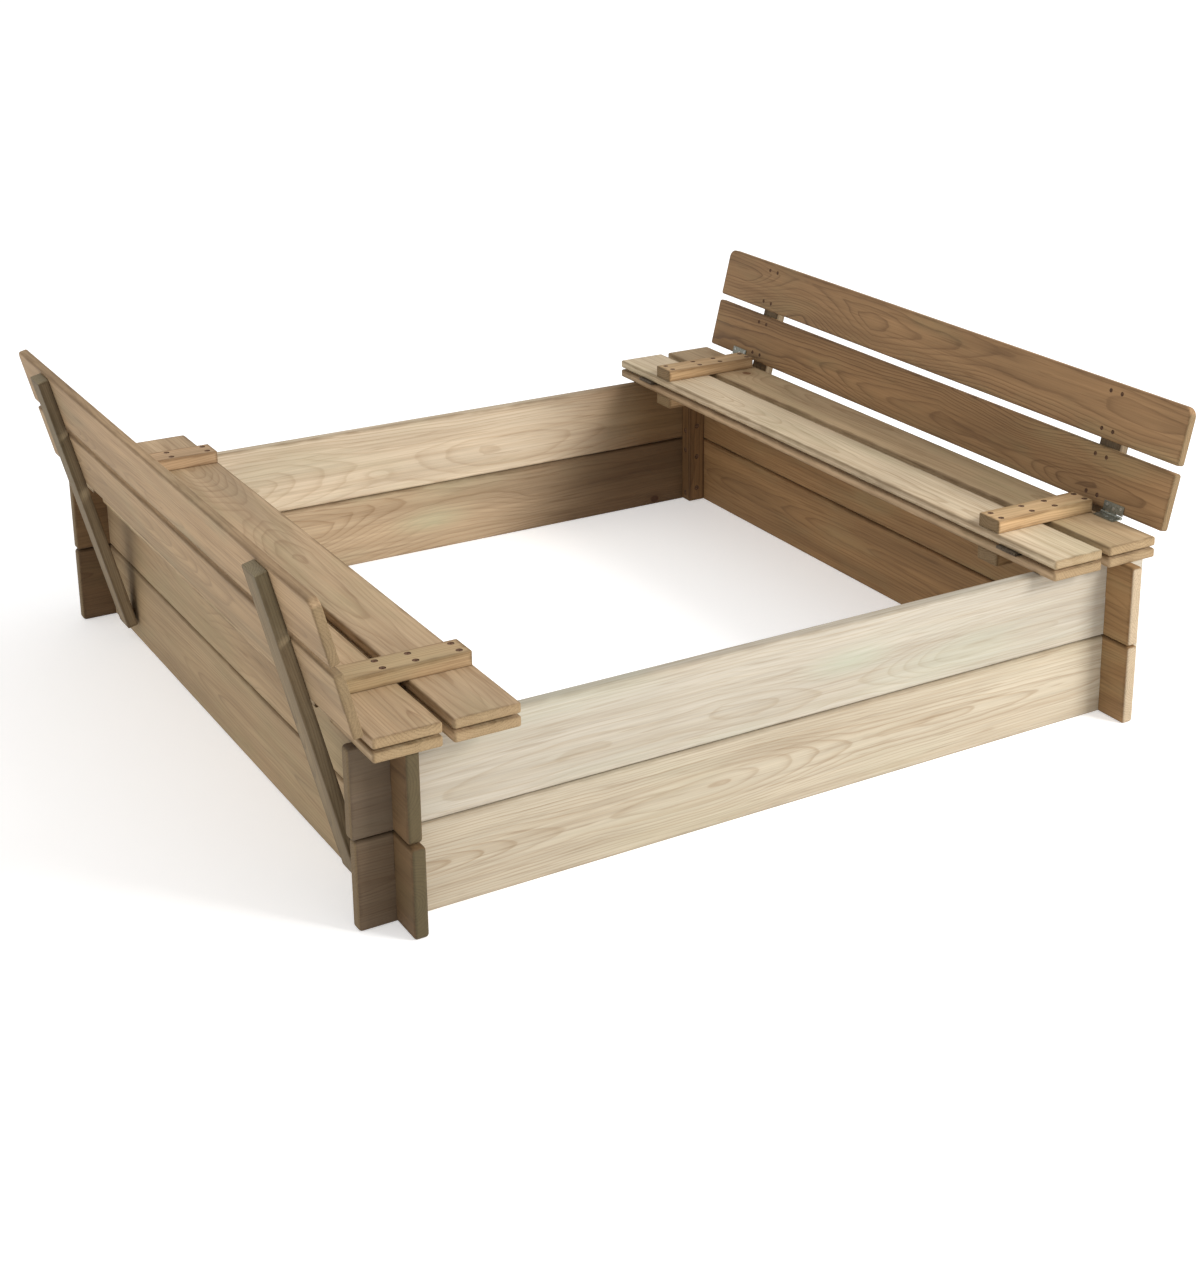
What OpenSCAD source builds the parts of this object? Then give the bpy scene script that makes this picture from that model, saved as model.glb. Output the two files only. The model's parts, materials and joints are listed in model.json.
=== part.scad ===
// Sandbox with a folding cover that opens into two benches.
// Origin: centre of the box on the ground. X runs along the front wall, Y to the back, Z up.
// Everything is drawn with the cover open, both benches ready to sit on.

/* [Box] */
// Length of every wall plank, end to end
plank_length = 1200; // [900:10:1500]
// Thickness of the wall planks
plank_thickness = 18; // [14:1:28]
// Height of one wall plank
plank_height = 116; // [90:1:150]
// Gap left between the lower and the upper planks
course_gap = 1.2; // [0.5:0.1:3]
// How far each plank runs past the crossing wall
plank_stub = 51; // [30:1:80]
// Corner cut on the plank ends
plank_corner = 5; // [1:0.5:12]
// How much the front end of the upper left plank is sawn short
upper_left_trim = 8; // [0:1:15]
// How much the left end of the lower front plank is sawn short
lower_front_trim = 4; // [0:1:15]
// Play in the half-lap notches
lap_play = 0.3; // [0.1:0.1:1]

/* [Corner posts] */
// Width of the corner posts along X
post_width = 32; // [26:1:60]
// Depth of the corner posts along Y
post_depth = 26; // [26:1:60]
// Distance from the ground to the foot of a post
post_foot = 2; // [0:0.5:10]
// Distance from a post top to the top of the walls
post_top_gap = 3; // [1:0.5:20]

/* [Cover boards] */
// Length of the cover boards
board_length = 1170; // [900:5:1400]
// Width of the base and seat boards
board_width = 85; // [70:1:110]
// Width of the backrest boards
backrest_board_width = 83; // [70:1:110]
// Thickness of a cover board
board_thickness = 12.8; // [10:0.1:20]
// Gap between the two boards of the base and seat sections
board_gap = 13; // [6:0.5:20]
// Gap between the two boards of a backrest
backrest_gap = 11; // [6:0.5:20]
// Distance from the box centre to the inner edge of the base and seat sections
section_inner_edge = 406.5; // [380:0.5:440]
// Gap between the base section and the seat folded onto it
layer_gap = 4; // [3.5:0.1:8]
// Corner radius of the cover boards
board_corner = 3; // [1:0.5:10]
// Larger radius on the top corners of the backrest
backrest_corner = 14; // [4:1:30]
// Shift of the right-hand bench along Y
right_bench_shift = 5; // [-20:1:20]
// Shift of the left-hand bench along Y
left_bench_shift = -14; // [-20:1:20]

/* [Battens and legs] */
// Width of battens and backrest legs
batten_width = 43; // [30:1:60]
// Thickness of the battens
batten_thickness = 19; // [12:1:26]
// Distance from the bench middle to the centre of a batten
batten_offset = 441.5; // [380:0.5:470]
// Distance from the bench middle to the centre of a backrest leg
leg_offset = 439; // [380:0.5:470]
// Thickness of the backrest legs
leg_thickness = 16; // [12:1:26]
// Reach of a leg below the backrest hinge axis
leg_below = 240; // [150:1:250]
// Distance from the top of the backrest down to the top of a leg
leg_top_drop = 5; // [-5:1:30]
// Depth of the relief behind each leg in the outer base board
leg_relief_depth = 31; // [0:1:36]
// Play on each side of a leg in its relief
leg_relief_play = 2; // [1:0.5:5]

/* [Hinges] */
// Backward lean of the backrest
backrest_lean = 14; // [8:0.5:20]
// Length of every hinge along its pin
hinge_length = 40; // [30:1:80]
// Distance from the bench middle to the centre of a hinge
hinge_offset = 489; // [480:1:520]
// Width of a hinge leaf from the pin axis
hinge_leaf_width = 17; // [15:1:40]
// Thickness of a hinge leaf
hinge_leaf_thickness = 1.4; // [1:0.1:1.6]
// Outer radius of the hinge knuckles
knuckle_radius = 2.5; // [2:0.1:2.7]
// Radius of the hinge pins
pin_radius = 1.25; // [1:0.05:1.6]
// Radial running clearance of a pin in its knuckles
pin_clearance = 0.06; // [0.02:0.01:0.1]
// Distance from a board edge to the fold axis between base and seat
fold_axis_inset = 4; // [4:0.5:10]
// Distance from the seat edge and the backrest edge to the axis between them
back_axis_inset = 5; // [5:0.5:10]

/* [Screws] */
// Head radius of the wood screws
screw_head_radius = 3.8; // [3:0.1:5]
// Shank radius of the wood screws
screw_shank_radius = 1.75; // [1.25:0.05:2.5]
// Distance from the board surface down to a screw head
screw_sink = 0.6; // [0.2:0.1:2]
// Sideways distance of a screw from the middle of its batten or leg
screw_pair_half = 11.5; // [8:0.5:16]
// Distance of a screw from the middle of its board
screw_board_half = 28; // [15:1:34]

/* [Preview] */
// Part to draw

/* [Hidden] */
$fn = 48;
screw_facets = 20;
fit_gap = 0.05;
lay_clear = 0.25;
leg_lift = 0.5;
small = 0.01;
overcut = 1;
wall_top = 2 * plank_height + course_gap;
wall_outer = plank_length / 2 - plank_stub;
wall_inner = wall_outer - plank_thickness;
wall_mid = wall_outer - plank_thickness / 2;
section_width = 2 * board_width + board_gap;
backrest_height = 2 * backrest_board_width + backrest_gap;
section_outer_edge = section_inner_edge + section_width;
base_top = wall_top + board_thickness;
seat_bottom = base_top + layer_gap;
seat_top = seat_bottom + board_thickness;
fold_x = section_inner_edge - fold_axis_inset;
fold_z = base_top + layer_gap / 2 + lay_clear;
fold_rise_base = fold_z - base_top;
fold_rise_seat = seat_bottom - fold_z;
back_rise_seat = 1.6;
back_rise_rest = back_rise_seat + leg_lift;
back_x = section_outer_edge + back_axis_inset;
back_z = seat_top + back_rise_seat;
batten_end_inset = 2;
seat_batten_outer_inset = 7;
base_batten_wall_gap = 3;
knuckle_gap = 0.4;
outer_knuckle = 12;
hinge_hole_spread = 14;
hinge_hole_far = 4.5;
hinge_hole_near = 8;
pin_end_gap = 0.4;
hinge_screw_sink = 0.1;
base_screw_inset = 12;
leaf_clear = 0.5;
batten_screw_length = 27;
leg_screw_length = 25;
post_screw_length = 40;
hinge_screw_length = 9;
hinge_screw_head = 2.6;
hinge_screw_shank = 1.2;
screw_cone = 2.6;
hinge_cone = 1.2;
post_screw_rows_x = [16, 98, 134, 216];
post_screw_rows_y = [26, 86, 144, 203];
fastener_tip_gap = 0.3;
pine = [0.80, 0.67, 0.48];
pine_dark = [0.62, 0.47, 0.31];
zinc = [0.78, 0.79, 0.80];

// ---------- placing helpers ----------

// Puts the right-hand bench parts on either side of the box (1 right, -1 left)
module on_side(side) {
  shift = side > 0 ? right_bench_shift : left_bench_shift;
  mirror([side > 0 ? 0 : 1, 0, 0])
    translate([0, shift, 0]) children();
}

// Frame of the leaning backrest: x backwards through it, z up along it, hinge axis at the origin
module on_backrest() {
  translate([back_x, 0, back_z]) rotate([0, backrest_lean, 0]) children();
}

// Copies along Y at plus and minus the given distance
module front_and_back(distance) {
  for (s = [-1, 1]) translate([0, s * distance, 0]) children();
}

// ---------- fasteners ----------

// Countersunk screw pointing down -Z, its head face sunk below the origin.
// A positive extra widens it into the hole it sits in, open at the top.
module screw(head, shank, cone, length, sink, extra) {
  top = extra > 0 ? extra : -sink;
  tip = -sink - length - (extra > 0 ? fastener_tip_gap : 0);
  rotate_extrude($fn = screw_facets)
    polygon([
      [0, tip],
      [shank + extra, tip],
      [shank + extra, -sink - cone],
      [head + extra, -sink],
      [head + extra, top],
      [0, top]
    ]);
}

module wood_screw(length) {
  screw(screw_head_radius, screw_shank_radius, screw_cone, length, screw_sink, 0);
}

module wood_screw_hole(length) {
  screw(screw_head_radius, screw_shank_radius, screw_cone, length, screw_sink, fit_gap);
}

module hinge_screw() {
  screw(hinge_screw_head, hinge_screw_shank, hinge_cone, hinge_screw_length, hinge_screw_sink, 0);
}

module hinge_screw_hole() {
  screw(hinge_screw_head, hinge_screw_shank, hinge_cone, hinge_screw_length, hinge_screw_sink, fit_gap);
}

// ---------- box ----------

// Side view of a wall plank with cut corners and two half-lap notches, one end sawn short
module plank_profile(notch_up, trim) {
  half = plank_length / 2;
  start = -half + trim;
  c = plank_corner;
  slot = plank_thickness / 2 + lap_play;
  middle = plank_height / 2;
  difference() {
    polygon([
      [start + c, 0], [half - c, 0], [half, c], [half, plank_height - c],
      [half - c, plank_height], [start + c, plank_height],
      [start, plank_height - c], [start, c]
    ]);
    for (s = [-1, 1])
      translate([s * wall_mid - slot, notch_up ? middle - lap_play : -overcut])
        square([2 * slot, middle + lap_play + overcut]);
  }
}

// Wall plank along X, centred on its thickness
module plank(notch_up, trim) {
  color(pine)
    translate([0, plank_thickness / 2, 0])
      rotate([90, 0, 0])
        linear_extrude(plank_thickness) plank_profile(notch_up, trim);
}

// Front or back plank; course 0 is the lower one and 1 the upper one
module x_plank(side, course, trim = 0) {
  difference() {
    translate([0, side * wall_mid, course * (plank_height + course_gap)]) plank(true, trim);
    post_screws_all() wood_screw_hole(post_screw_length);
  }
}

// Left or right plank
module y_plank(side, course, trim = 0) {
  difference() {
    translate([side * wall_mid, 0, course * (plank_height + course_gap)])
      rotate([0, 0, 90]) plank(false, trim);
    post_screws_all() wood_screw_hole(post_screw_length);
  }
}

// Post in an inner corner of the box; sx and sy are the signs of that corner
module corner_post(sx, sy) {
  length = wall_top - post_foot - post_top_gap;
  x = sx * (wall_inner - post_width / 2);
  y = sy * (wall_inner - post_depth / 2);
  color(pine_dark)
    difference() {
      translate([x - post_width / 2, y - post_depth / 2, post_foot])
        cube([post_width, post_depth, length]);
      post_screws(sx, sy) wood_screw_hole(post_screw_length);
    }
}

// Screws of one post: through it along X into the side wall and along Y into the end wall
module post_screws(sx, sy) {
  mirror([sx > 0 ? 0 : 1, 0, 0]) mirror([0, sy > 0 ? 0 : 1, 0]) {
    for (z = post_screw_rows_x)
      translate([wall_inner - post_width, wall_inner - post_depth / 2, z]) rotate([0, -90, 0]) children();
    for (z = post_screw_rows_y)
      translate([wall_inner - post_width / 2, wall_inner - post_depth, z]) rotate([90, 0, 0]) children();
  }
}

module post_screws_all() {
  for (sx = [-1, 1], sy = [-1, 1]) post_screws(sx, sy) children();
}

// ---------- cover boards ----------

// Flat board along Y with rounded corners: x from 0 to its width, z from 0 up
module board() {
  color(pine)
    linear_extrude(board_thickness)
      board_outline(board_width, board_corner, board_corner);
}

// Outline with one radius on the corners at x = 0 and another at the far side
module board_outline(width, r_near, r_far) {
  half = board_length / 2;
  difference() {
    translate([0, -half]) square([width, board_length]);
    for (s = [-1, 1]) {
      corner_cut(0, s * half, 1, -s, r_near);
      corner_cut(width, s * half, -1, -s, r_far);
    }
  }
}

// What a radius r takes off the corner at (x, y) of a board lying towards (dx, dy)
module corner_cut(x, y, dx, dy, r) {
  difference() {
    translate([x + dx * (r - small) / 2, y + dy * (r - small) / 2])
      square([r + small, r + small], center = true);
    translate([x + dx * r, y + dy * r]) circle(r);
  }
}

// Centres of the two boards of a base or seat section
function board_centre(i) = section_inner_edge + board_width / 2 + i * (board_width + board_gap);

// Screw places on a batten: a pair beside the middle of each board
module batten_screws_at(z) {
  for (i = [0, 1], s = [-1, 1])
    translate([board_centre(i) + s * screw_board_half, 0, z])
      front_and_back(batten_offset)
        for (p = [-1, 1]) translate([0, p * screw_pair_half, 0]) children();
}

// Base battens end at the wall, so their outer pair of screws sits further in
module base_screws_at(z) {
  columns = [board_centre(0) - screw_board_half, board_centre(0) + screw_board_half,
             section_inner_edge + board_width + board_gap + base_screw_inset];
  for (x = columns)
    translate([x, 0, z]) front_and_back(batten_offset)
      for (p = [-1, 1]) translate([0, p * screw_pair_half, 0]) children();
}

// ---------- base section, fixed to the box ----------

// Screw places under the base battens, driven upwards
module base_screws() {
  base_screws_at(wall_top - batten_thickness) rotate([180, 0, 0]) children();
}

module base_board(i) {
  difference() {
    translate([board_centre(i) - board_width / 2, 0, wall_top]) board();
    base_screws() wood_screw_hole(batten_screw_length);
    base_hinge_screw_places() hinge_screw_hole();
    if (i == 1) leg_relief();
  }
}

// Notches in the outer edge that let the legs swing past the base section
module leg_relief() {
  width = batten_width + 2 * leg_relief_play;
  front_and_back(leg_offset)
    translate([section_outer_edge - leg_relief_depth, -width / 2, wall_top - overcut])
      cube([leg_relief_depth + overcut, width, board_thickness + 2 * overcut]);
}

module base_batten(end) {
  x0 = section_inner_edge + batten_end_inset;
  color(pine_dark)
    difference() {
      translate([x0, end * batten_offset - batten_width / 2, wall_top - batten_thickness])
        cube([wall_inner - base_batten_wall_gap - x0, batten_width, batten_thickness]);
      base_screws() wood_screw_hole(batten_screw_length);
    }
}

// ---------- seat section, folds about the inner edge ----------

// Screw places on top of the seat battens
module seat_screws() {
  batten_screws_at(seat_top + batten_thickness) children();
}

module seat_board(i) {
  difference() {
    translate([board_centre(i) - board_width / 2, 0, seat_bottom]) board();
    seat_screws() wood_screw_hole(batten_screw_length);
    seat_hinge_screw_places() hinge_screw_hole();
  }
}

module seat_batten(end) {
  x0 = section_inner_edge + batten_end_inset;
  x1 = section_outer_edge - seat_batten_outer_inset;
  color(pine_dark)
    difference() {
      translate([x0, end * batten_offset - batten_width / 2, seat_top])
        cube([x1 - x0, batten_width, batten_thickness]);
      seat_screws() wood_screw_hole(batten_screw_length);
    }
}

// ---------- backrest, leans on the box with its legs ----------

// Distance from the hinge axis up to the lower edge of a backrest board
function rest_board_edge(i) = back_axis_inset + i * (backrest_board_width + backrest_gap);

// Screw places on the front of the backrest, driven back into the legs
module rest_screws() {
  on_backrest()
    for (i = [0, 1], s = [-1, 1])
      translate([
        back_rise_rest, 0,
        rest_board_edge(i) + backrest_board_width / 2 + s * screw_board_half
      ])
        front_and_back(leg_offset)
          for (p = [-1, 1]) translate([0, p * screw_pair_half, 0]) rotate([0, -90, 0]) children();
}

module backrest_board(i) {
  r_top = i == 1 ? backrest_corner : board_corner;
  difference() {
    on_backrest()
      translate([back_rise_rest + board_thickness, 0, rest_board_edge(i)])
        rotate([0, -90, 0])
          color(pine)
            linear_extrude(board_thickness)
              board_outline(backrest_board_width, board_corner, r_top);
    rest_screws() wood_screw_hole(leg_screw_length);
    rest_hinge_screw_places() hinge_screw_hole();
  }
}

module backrest_leg(end) {
  top = back_axis_inset + backrest_height - leg_top_drop;
  color(pine_dark)
    difference() {
      on_backrest()
        translate([back_rise_rest + board_thickness, end * leg_offset - batten_width / 2, -leg_below])
          cube([leg_thickness, batten_width, leg_below + top]);
      rest_screws() wood_screw_hole(leg_screw_length);
    }
}

// ---------- hinges ----------

// Hinge leaf around a pin on Y, its plate to +X and its outer face at z = -rise
module hinge_leaf(rise, middle) {
  half = hinge_length / 2;
  inner = half - outer_knuckle;
  plate_x = knuckle_radius + leaf_clear;
  color(zinc)
    difference() {
      union() {
        translate([plate_x, -half, -rise])
          cube([hinge_leaf_width - plate_x, hinge_length, hinge_leaf_thickness]);
        if (middle)
          knuckle(-inner + knuckle_gap, 2 * (inner - knuckle_gap), rise);
        else
          for (y = [-half, inner]) knuckle(y, outer_knuckle, rise);
      }
      rotate([90, 0, 0])
        cylinder(r = pin_radius + pin_clearance, h = hinge_length + 2 * overcut, center = true);
      hinge_leaf_holes(rise) hinge_screw_hole();
    }
}

// One knuckle from y onwards and the strip that joins it to its leaf
module knuckle(y, length, rise) {
  translate([0, y + length, 0]) rotate([90, 0, 0]) cylinder(r = knuckle_radius, h = length);
  translate([0, y, -rise])
    cube([knuckle_radius + leaf_clear + small, length, hinge_leaf_thickness]);
}

// Zigzag row of three screw places on a leaf
module hinge_leaf_holes(rise) {
  far = hinge_leaf_width - hinge_hole_far;
  near = hinge_leaf_width - hinge_hole_near;
  for (k = [-1, 0, 1])
    translate([k == 0 ? near : far, k * hinge_hole_spread, -rise + hinge_leaf_thickness]) children();
}

module hinge_pin() {
  color(zinc)
    rotate([90, 0, 0]) cylinder(r = pin_radius, h = hinge_length - pin_end_gap, center = true);
}

// Frames of the four leaf kinds, each with its screw places
module at_base_leaf() {
  front_and_back(hinge_offset) translate([fold_x, 0, fold_z]) children();
}

module at_fold_seat_leaf() {
  front_and_back(hinge_offset) translate([fold_x, 0, fold_z]) mirror([0, 0, 1]) children();
}

module at_back_seat_leaf() {
  front_and_back(hinge_offset) translate([back_x, 0, back_z]) mirror([1, 0, 0]) children();
}

module at_rest_leaf() {
  on_backrest() front_and_back(hinge_offset) rotate([0, -90, 0]) children();
}

module base_hinge_screw_places() {
  at_base_leaf() hinge_leaf_holes(fold_rise_base) children();
}

module seat_hinge_screw_places() {
  at_fold_seat_leaf() hinge_leaf_holes(fold_rise_seat) children();
  at_back_seat_leaf() hinge_leaf_holes(back_rise_seat) children();
}

module rest_hinge_screw_places() {
  at_rest_leaf() hinge_leaf_holes(back_rise_rest) children();
}

// ---------- groups ----------

module frame_screws() {
  color(zinc) {
    post_screws_all() wood_screw(post_screw_length);
    for (side = [-1, 1]) on_side(side) base_screws() wood_screw(batten_screw_length);
  }
}

module base_hinge_screws() {
  color(zinc)
    for (side = [-1, 1]) on_side(side) base_hinge_screw_places() hinge_screw();
}

// ---------- nodes ----------

x_plank(-1, 0, lower_front_trim);  // front_plank_lower
x_plank(-1, 1);  // front_plank_upper
x_plank(1, 0);  // back_plank_lower
x_plank(1, 1);  // back_plank_upper
y_plank(-1, 0);  // left_plank_lower
y_plank(-1, 1, upper_left_trim);  // left_plank_upper
y_plank(1, 0);  // right_plank_lower
y_plank(1, 1);  // right_plank_upper
corner_post(-1, -1);  // corner_post_front_left
corner_post(1, -1);  // corner_post_front_right
corner_post(-1, 1);  // corner_post_back_left
corner_post(1, 1);  // corner_post_back_right
frame_screws();
base_hinge_screws();
on_side(1) base_board(0);  // right_base_board_inner
on_side(1) base_board(1);  // right_base_board_outer
on_side(1) base_batten(-1);  // right_base_batten_front
on_side(1) base_batten(1);  // right_base_batten_back
on_side(1) seat_board(0);  // right_seat_board_inner
on_side(1) seat_board(1);  // right_seat_board_outer
on_side(1) seat_batten(-1);  // right_seat_batten_front
on_side(1) seat_batten(1);  // right_seat_batten_back
on_side(1) color(zinc) seat_screws() wood_screw(batten_screw_length);  // right_seat_screws
on_side(1) backrest_board(0);  // right_backrest_board_lower
on_side(1) backrest_board(1);  // right_backrest_board_upper
on_side(1) backrest_leg(-1);  // right_backrest_leg_front
on_side(1) backrest_leg(1);  // right_backrest_leg_back
on_side(1) color(zinc) rest_screws() wood_screw(leg_screw_length);  // right_backrest_screws
on_side(1) at_base_leaf() hinge_leaf(fold_rise_base, false);  // right_fold_hinge_base_leaves
on_side(1) at_fold_seat_leaf() hinge_leaf(fold_rise_seat, true);  // right_fold_hinge_seat_leaves
on_side(1) at_base_leaf() hinge_pin();  // right_fold_hinge_pins
on_side(1) at_back_seat_leaf() hinge_leaf(back_rise_seat, false);  // right_back_hinge_seat_leaves
on_side(1) at_rest_leaf() hinge_leaf(back_rise_rest, true);  // right_back_hinge_rest_leaves
on_side(1) at_back_seat_leaf() hinge_pin();  // right_back_hinge_pins
on_side(1) color(zinc) seat_hinge_screw_places() hinge_screw();  // right_seat_hinge_screws
on_side(1) color(zinc) rest_hinge_screw_places() hinge_screw();  // right_rest_hinge_screws
on_side(-1) base_board(0);  // left_base_board_inner
on_side(-1) base_board(1);  // left_base_board_outer
on_side(-1) base_batten(-1);  // left_base_batten_front
on_side(-1) base_batten(1);  // left_base_batten_back
on_side(-1) seat_board(0);  // left_seat_board_inner
on_side(-1) seat_board(1);  // left_seat_board_outer
on_side(-1) seat_batten(-1);  // left_seat_batten_front
on_side(-1) seat_batten(1);  // left_seat_batten_back
on_side(-1) color(zinc) seat_screws() wood_screw(batten_screw_length);  // left_seat_screws
on_side(-1) backrest_board(0);  // left_backrest_board_lower
on_side(-1) backrest_board(1);  // left_backrest_board_upper
on_side(-1) backrest_leg(-1);  // left_backrest_leg_front
on_side(-1) backrest_leg(1);  // left_backrest_leg_back
on_side(-1) color(zinc) rest_screws() wood_screw(leg_screw_length);  // left_backrest_screws
on_side(-1) at_base_leaf() hinge_leaf(fold_rise_base, false);  // left_fold_hinge_base_leaves
on_side(-1) at_fold_seat_leaf() hinge_leaf(fold_rise_seat, true);  // left_fold_hinge_seat_leaves
on_side(-1) at_base_leaf() hinge_pin();  // left_fold_hinge_pins
on_side(-1) at_back_seat_leaf() hinge_leaf(back_rise_seat, false);  // left_back_hinge_seat_leaves
on_side(-1) at_rest_leaf() hinge_leaf(back_rise_rest, true);  // left_back_hinge_rest_leaves
on_side(-1) at_back_seat_leaf() hinge_pin();  // left_back_hinge_pins
on_side(-1) color(zinc) seat_hinge_screw_places() hinge_screw();  // left_seat_hinge_screws
on_side(-1) color(zinc) rest_hinge_screw_places() hinge_screw();  // left_rest_hinge_screws
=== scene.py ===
import json
import math
import random
import numpy as np
import bpy
import bmesh
from mathutils import Matrix, Vector

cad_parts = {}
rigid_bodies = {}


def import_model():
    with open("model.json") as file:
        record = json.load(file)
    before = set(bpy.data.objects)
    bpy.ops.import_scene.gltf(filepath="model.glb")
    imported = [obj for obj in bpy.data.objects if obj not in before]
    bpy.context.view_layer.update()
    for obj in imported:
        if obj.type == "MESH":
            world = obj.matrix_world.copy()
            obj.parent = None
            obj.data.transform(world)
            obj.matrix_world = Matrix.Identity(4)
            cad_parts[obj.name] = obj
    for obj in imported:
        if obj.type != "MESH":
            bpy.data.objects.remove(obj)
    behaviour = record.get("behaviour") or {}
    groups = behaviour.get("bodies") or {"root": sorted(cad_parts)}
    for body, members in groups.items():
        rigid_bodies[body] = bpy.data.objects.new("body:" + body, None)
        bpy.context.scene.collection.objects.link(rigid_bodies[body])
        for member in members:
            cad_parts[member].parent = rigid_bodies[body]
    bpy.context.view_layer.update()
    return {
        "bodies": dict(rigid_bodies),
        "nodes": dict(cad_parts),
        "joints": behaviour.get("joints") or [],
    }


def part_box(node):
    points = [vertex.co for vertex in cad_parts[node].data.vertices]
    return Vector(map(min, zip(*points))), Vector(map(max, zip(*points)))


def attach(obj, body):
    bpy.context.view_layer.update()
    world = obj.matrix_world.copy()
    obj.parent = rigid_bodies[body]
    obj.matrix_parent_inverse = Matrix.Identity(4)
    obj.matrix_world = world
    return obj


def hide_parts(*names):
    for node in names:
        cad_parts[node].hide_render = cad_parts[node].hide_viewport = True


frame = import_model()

# ---------------------------------------------------------------- sizes, metres
MM = 0.001
PLANK_EDGE = 4.0 * MM       # eased long edges of the wall planks
BOARD_EDGE = 2.6 * MM       # rounded long edges of the cover boards
BATTEN_EDGE = 1.6 * MM
POST_EDGE = 2.0 * MM
PLANK_CORNER = 5.5 * MM     # rounded corners at the plank ends
BOARD_CORNER = 4.0 * MM
BACKREST_CORNER = 14.0 * MM
HOLE_RADIUS = 3.5 * MM      # countersunk hole over a screw head
HEAD_RADIUS = 3.25 * MM
REST_HOLE_RADIUS = 2.5 * MM  # smaller holes on the fronts of the backrests
REST_HEAD_RADIUS = 2.3 * MM
HOLE_DEPTH = 0.8 * MM
LARGEST_HOLE_FACE = 60 * MM * MM
FACE_REACH = 1.5 * MM       # how near to a face a screw head has to be, to get its hole there
RELIEF_DEPTH = 31 * MM      # notch of the outer base board behind each leg
RELIEF_PLAY = 2 * MM
LAP_PLAY = 0.35 * MM        # room beside a plank in a half-lap slot, and the slots' overlap in height
LAP_OVERLAP = 0.3 * MM
EDGE_SEGMENTS = 4
SMOOTH_ANGLE = math.radians(35)
SMALL_CORNER = 1.3          # corner radius of posts and battens, as a share of the edge rounding
LEG_CORNER = 2.5 * MM
SCREW_LENGTH = 27 * MM      # lengths of the screw masters; each screw is stretched to its own length
HINGE_SCREW_LENGTH = 9 * MM
SCREW_HEAD_HEIGHT = 3 * MM  # the part of a long screw that isn't stretched
SHORT_SCREW = 12 * MM       # below this length a whole screw is stretched
THREAD_WIDTH = 1.1 * MM
THREAD_PITCH = 1.9 * MM
FACETS = 20                 # sides of a screw and of a screw hole

JOINTS = {j["name"]: j for j in frame["joints"]}
# an upright backrest would fold by 90 degrees to lie flat; what is missing to that is its lean
LEAN = math.radians(90 + JOINTS["right_backrest_fold"]["range_deg"][0])


# ---------------------------------------------------------------- frames
def backrest_frame(side):
    """Row-frame matrix of a backrest: x out through its back, z up along it, hinge axis at the origin."""
    name = "right_backrest_fold" if side > 0 else "left_backrest_fold"
    pos = Vector(JOINTS[name]["pos_m"])
    return Matrix.Translation(pos) @ Matrix.Rotation(side * LEAN, 4, "Y")


def box_in(node, matrix):
    """Lowest and highest corner of a CAD node measured in another frame."""
    inv = matrix.inverted()
    pts = [inv @ v.co for v in frame["nodes"][node].data.vertices]
    lo = Vector([min(p[i] for p in pts) for i in range(3)])
    hi = Vector([max(p[i] for p in pts) for i in range(3)])
    return lo, hi


def aimed(place, axis):
    """Frame at a place, with its Z axis along an axis."""
    m = axis.to_track_quat("Z", "Y").to_matrix().to_4x4()
    m.translation = place
    return m


def axes_matrix(origin, x_axis, y_axis, z_axis):
    """Frame at an origin with the three axes given."""
    m = Matrix((x_axis, y_axis, z_axis)).transposed().to_4x4()
    m.translation = origin
    return m


# ---------------------------------------------------------------- mesh helpers
def rounded_outline(length, width, radii, steps=6):
    """Corner-rounded rectangle in the XY plane, counter-clockwise. radii: (-x-y, +x-y, +x+y, -x+y)."""
    hx, hy = length / 2, width / 2
    corners = [(-1, -1, 180), (1, -1, 270), (1, 1, 0), (-1, 1, 90)]
    pts = []
    for (sx, sy, start), r in zip(corners, radii):
        cx, cy = sx * (hx - r), sy * (hy - r)
        for k in range(steps + 1):
            a = math.radians(start + 90 * k / steps)
            pts.append((cx + r * math.cos(a), cy + r * math.sin(a)))
    return pts


def extrude_outline(pts, thickness, edge):
    """Solid between z = -t/2 and t/2 over an outline, its top and bottom rims rounded."""
    bm = bmesh.new()
    verts = [bm.verts.new((x, y, -thickness / 2)) for x, y in pts]
    face = bm.faces.new(verts)
    face.normal_update()
    res = bmesh.ops.extrude_face_region(bm, geom=[face])
    up = [g for g in res["geom"] if isinstance(g, bmesh.types.BMVert)]
    bmesh.ops.translate(bm, verts=up, vec=(0, 0, thickness))
    bmesh.ops.recalc_face_normals(bm, faces=bm.faces)
    rims = [e for e in bm.edges if abs(e.verts[0].co.z - e.verts[1].co.z) < 1e-7]
    bmesh.ops.bevel(bm, geom=rims, offset=edge, offset_type="OFFSET", segments=EDGE_SEGMENTS,
                    profile=0.5, affect="EDGES", clamp_overlap=True)
    return bm


def smooth(obj, angle=SMOOTH_ANGLE):
    """Smooth shading up to an angle, weighted towards the larger faces."""
    mesh = obj.data
    mesh.polygons.foreach_set("use_smooth", [True] * len(mesh.polygons))
    mesh.set_sharp_from_angle(angle=angle)
    weighted = obj.modifiers.new("weighted", "WEIGHTED_NORMAL")
    weighted.keep_sharp = True


def finish_mesh(bm, name, matrix, angle=SMOOTH_ANGLE):
    """Object from a bmesh, shaded smooth up to an angle, placed in the row frame."""
    mesh = bpy.data.meshes.new(name)
    bmesh.ops.recalc_face_normals(bm, faces=bm.faces)
    bm.to_mesh(mesh)
    bm.free()
    obj = bpy.data.objects.new(name, mesh)
    bpy.context.scene.collection.objects.link(obj)
    obj.matrix_world = matrix
    smooth(obj, angle)
    return obj


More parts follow.
